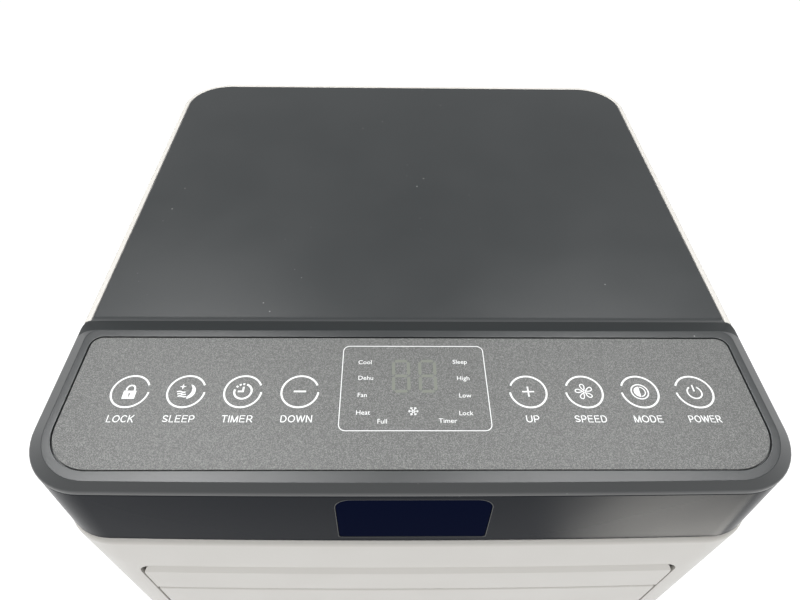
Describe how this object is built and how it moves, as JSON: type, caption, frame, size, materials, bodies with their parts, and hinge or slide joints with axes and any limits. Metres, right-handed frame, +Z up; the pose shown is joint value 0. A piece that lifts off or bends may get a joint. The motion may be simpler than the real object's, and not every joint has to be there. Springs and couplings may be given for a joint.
{
  "type": "portable air conditioner",
  "caption": "Upright wheeled room air conditioner with a dark top, slanted-edge touch console, tilting front louvre, rear intakes and exhaust collar",
  "frame": {"origin": "on the floor, under the middle of the bounding box", "axes": "+Z up along the height, the front with the console and the louvre faces -Y, +X to the right of someone facing the front"},
  "size_m": [0.33, 0.3506, 0.69],
  "materials": {
    "white_casing": "satin injection-moulded ABS, warm white",
    "dark_satin": "satin charcoal ABS with a very fine spark texture",
    "dark_gloss": "smooth semi-gloss charcoal ABS",
    "overlay_film": "fine-grained matt graphic film, white print",
    "window_gloss": "polished infrared-passing acrylic, near-black navy",
    "circuit_board": "green solder mask",
    "grey_plastic": "plain moulded polypropylene",
    "aluminium_fin": "thin bright fins and sheet",
    "bare_steel": "galvanised pressed steel",
    "black_paint": "black enamel on steel, black nylon on the caster wheels",
    "copper_tube": "drawn copper refrigerant tube",
    "black_rubber": "matt moulded rubber",
    "filter_mesh": "dark nylon mesh on a moulded frame"
  },
  "bodies": {
    "cabinet": {"base_pan": "white_casing", "front_casing": "white_casing", "rear_casing": "white_casing", "top_cover": "dark_satin", "console_housing": "dark_gloss", "console_lid": "dark_satin", "control_overlay": "overlay_film", "receiver_window": "window_gloss", "control_board": "circuit_board", "display_module": "window_gloss", "mid_partition": "grey_plastic", "side_handle_left": "dark_satin", "side_handle_right": "dark_satin", "outlet_duct": "white_casing", "louvre_motor": "bare_steel", "upper_scroll": "grey_plastic", "lower_scroll": "grey_plastic", "upper_fan_motor": "bare_steel", "lower_fan_motor": "bare_steel", "evaporator": "aluminium_fin", "condenser": "aluminium_fin", "compressor": "black_paint", "accumulator": "black_paint", "suction_pipe": "copper_tube", "discharge_pipe": "copper_tube", "capillary_tube": "copper_tube", "electrical_box": "grey_plastic", "run_capacitor": "aluminium_fin", "exhaust_collar": "dark_satin", "upper_drain_spout": "grey_plastic", "lower_drain_spout": "grey_plastic", "cord_gland": "black_rubber"},
    "louvre_1": {"louvre_blade_1": "white_casing"},
    "louvre_2": {"louvre_blade_2": "white_casing"},
    "louvre_3": {"louvre_blade_3": "white_casing"},
    "louvre_4": {"louvre_blade_4": "white_casing"},
    "louvre_link": {"louvre_link": "grey_plastic"},
    "vane_1": {"guide_vane_1": "grey_plastic"},
    "vane_2": {"guide_vane_2": "grey_plastic"},
    "vane_3": {"guide_vane_3": "grey_plastic"},
    "vane_4": {"guide_vane_4": "grey_plastic"},
    "vane_link": {"vane_link": "grey_plastic"},
    "upper_blower": {"upper_blower": "dark_satin"},
    "lower_blower": {"lower_blower": "dark_satin"},
    "upper_intake": {"upper_intake_grille": "white_casing", "upper_filter": "filter_mesh"},
    "lower_intake": {"lower_intake_grille": "white_casing", "lower_filter": "filter_mesh"},
    "upper_drain_cap": {"upper_drain_cap": "black_rubber"},
    "lower_drain_cap": {"lower_drain_cap": "black_rubber"},
    "water_float": {"water_float": "white_casing"},
    "caster_front_left": {"caster_fork_front_left": "dark_satin"},
    "wheel_front_left": {"caster_wheel_front_left": "black_paint"},
    "caster_front_right": {"caster_fork_front_right": "dark_satin"},
    "wheel_front_right": {"caster_wheel_front_right": "black_paint"},
    "caster_rear_left": {"caster_fork_rear_left": "dark_satin"},
    "wheel_rear_left": {"caster_wheel_rear_left": "black_paint"},
    "caster_rear_right": {"caster_fork_rear_right": "dark_satin"},
    "wheel_rear_right": {"caster_wheel_rear_right": "black_paint"}
  },
  "joints": [
    {"name": "louvre_tilt", "type": "hinge", "parent": "cabinet", "child": "louvre_1", "pos_m": [0, -0.1665, 0.5886], "axis": [1, 0, 0], "range_deg": [0, 80]},
    {"name": "louvre_tilt_2", "type": "hinge", "parent": "cabinet", "child": "louvre_2", "pos_m": [0, -0.1665, 0.5536], "axis": [1, 0, 0], "range_deg": [0, 80]},
    {"name": "louvre_tilt_3", "type": "hinge", "parent": "cabinet", "child": "louvre_3", "pos_m": [0, -0.1665, 0.5186], "axis": [1, 0, 0], "range_deg": [0, 80]},
    {"name": "louvre_tilt_4", "type": "hinge", "parent": "cabinet", "child": "louvre_4", "pos_m": [0, -0.1665, 0.4836], "axis": [1, 0, 0], "range_deg": [0, 80]},
    {"name": "louvre_link_turn", "type": "hinge", "parent": "louvre_1", "child": "louvre_link", "pos_m": [0.145, -0.1545, 0.5886], "axis": [1, 0, 0], "range_deg": [-80, 0]},
    {"name": "vane_swing", "type": "hinge", "parent": "cabinet", "child": "vane_1", "pos_m": [-0.081, -0.143, 0.536], "axis": [0, 0, 1], "range_deg": [-30, 30]},
    {"name": "vane_swing_2", "type": "hinge", "parent": "cabinet", "child": "vane_2", "pos_m": [-0.027, -0.143, 0.536], "axis": [0, 0, 1], "range_deg": [-30, 30]},
    {"name": "vane_swing_3", "type": "hinge", "parent": "cabinet", "child": "vane_3", "pos_m": [0.027, -0.143, 0.536], "axis": [0, 0, 1], "range_deg": [-30, 30]},
    {"name": "vane_swing_4", "type": "hinge", "parent": "cabinet", "child": "vane_4", "pos_m": [0.081, -0.143, 0.536], "axis": [0, 0, 1], "range_deg": [-30, 30]},
    {"name": "vane_link_turn", "type": "hinge", "parent": "vane_1", "child": "vane_link", "pos_m": [-0.081, -0.127, 0.536], "axis": [0, 0, 1], "range_deg": [-30, 30]},
    {"name": "upper_blower_spin", "type": "hinge", "parent": "cabinet", "child": "upper_blower", "pos_m": [0, 0.015, 0.532], "axis": [1, 0, 0], "continuous": true},
    {"name": "lower_blower_spin", "type": "hinge", "parent": "cabinet", "child": "lower_blower", "pos_m": [0, 0.048, 0.362], "axis": [1, 0, 0], "continuous": true},
    {"name": "upper_intake_pull", "type": "slide", "parent": "cabinet", "child": "upper_intake", "axis": [0, 1, 0], "range_m": [0, 0.08]},
    {"name": "lower_intake_pull", "type": "slide", "parent": "cabinet", "child": "lower_intake", "axis": [0, 1, 0], "range_m": [0, 0.08]},
    {"name": "upper_drain_cap_pull", "type": "slide", "parent": "cabinet", "child": "upper_drain_cap", "axis": [0, 1, 0], "range_m": [0, 0.03]},
    {"name": "lower_drain_cap_pull", "type": "slide", "parent": "cabinet", "child": "lower_drain_cap", "axis": [0, 1, 0], "range_m": [0, 0.03]},
    {"name": "water_float_rise", "type": "slide", "parent": "cabinet", "child": "water_float", "axis": [0, 0, 1], "range_m": [0, 0.012]},
    {"name": "swivel_front_left", "type": "hinge", "parent": "cabinet", "child": "caster_front_left", "pos_m": [-0.126, -0.134, 0.02], "axis": [0, 0, 1], "continuous": true},
    {"name": "roll_front_left", "type": "hinge", "parent": "caster_front_left", "child": "wheel_front_left", "pos_m": [-0.126, -0.123, 0.017], "axis": [1, 0, 0], "continuous": true},
    {"name": "swivel_front_right", "type": "hinge", "parent": "cabinet", "child": "caster_front_right", "pos_m": [0.126, -0.134, 0.02], "axis": [0, 0, 1], "continuous": true},
    {"name": "roll_front_right", "type": "hinge", "parent": "caster_front_right", "child": "wheel_front_right", "pos_m": [0.126, -0.123, 0.017], "axis": [1, 0, 0], "continuous": true},
    {"name": "swivel_rear_left", "type": "hinge", "parent": "cabinet", "child": "caster_rear_left", "pos_m": [-0.126, 0.122, 0.02], "axis": [0, 0, 1], "continuous": true},
    {"name": "roll_rear_left", "type": "hinge", "parent": "caster_rear_left", "child": "wheel_rear_left", "pos_m": [-0.126, 0.133, 0.017], "axis": [1, 0, 0], "continuous": true},
    {"name": "swivel_rear_right", "type": "hinge", "parent": "cabinet", "child": "caster_rear_right", "pos_m": [0.126, 0.122, 0.02], "axis": [0, 0, 1], "continuous": true},
    {"name": "roll_rear_right", "type": "hinge", "parent": "caster_rear_right", "child": "wheel_rear_right", "pos_m": [0.126, 0.133, 0.017], "axis": [1, 0, 0], "continuous": true}
  ],
  "couplings": [
    {"joint": "louvre_tilt_2", "follows": "louvre_tilt", "ratio": 1},
    {"joint": "louvre_tilt_3", "follows": "louvre_tilt", "ratio": 1},
    {"joint": "louvre_tilt_4", "follows": "louvre_tilt", "ratio": 1},
    {"joint": "louvre_link_turn", "follows": "louvre_tilt", "ratio": -1},
    {"joint": "vane_swing_2", "follows": "vane_swing", "ratio": 1},
    {"joint": "vane_swing_3", "follows": "vane_swing", "ratio": 1},
    {"joint": "vane_swing_4", "follows": "vane_swing", "ratio": 1},
    {"joint": "vane_link_turn", "follows": "vane_swing", "ratio": -1}
  ]
}
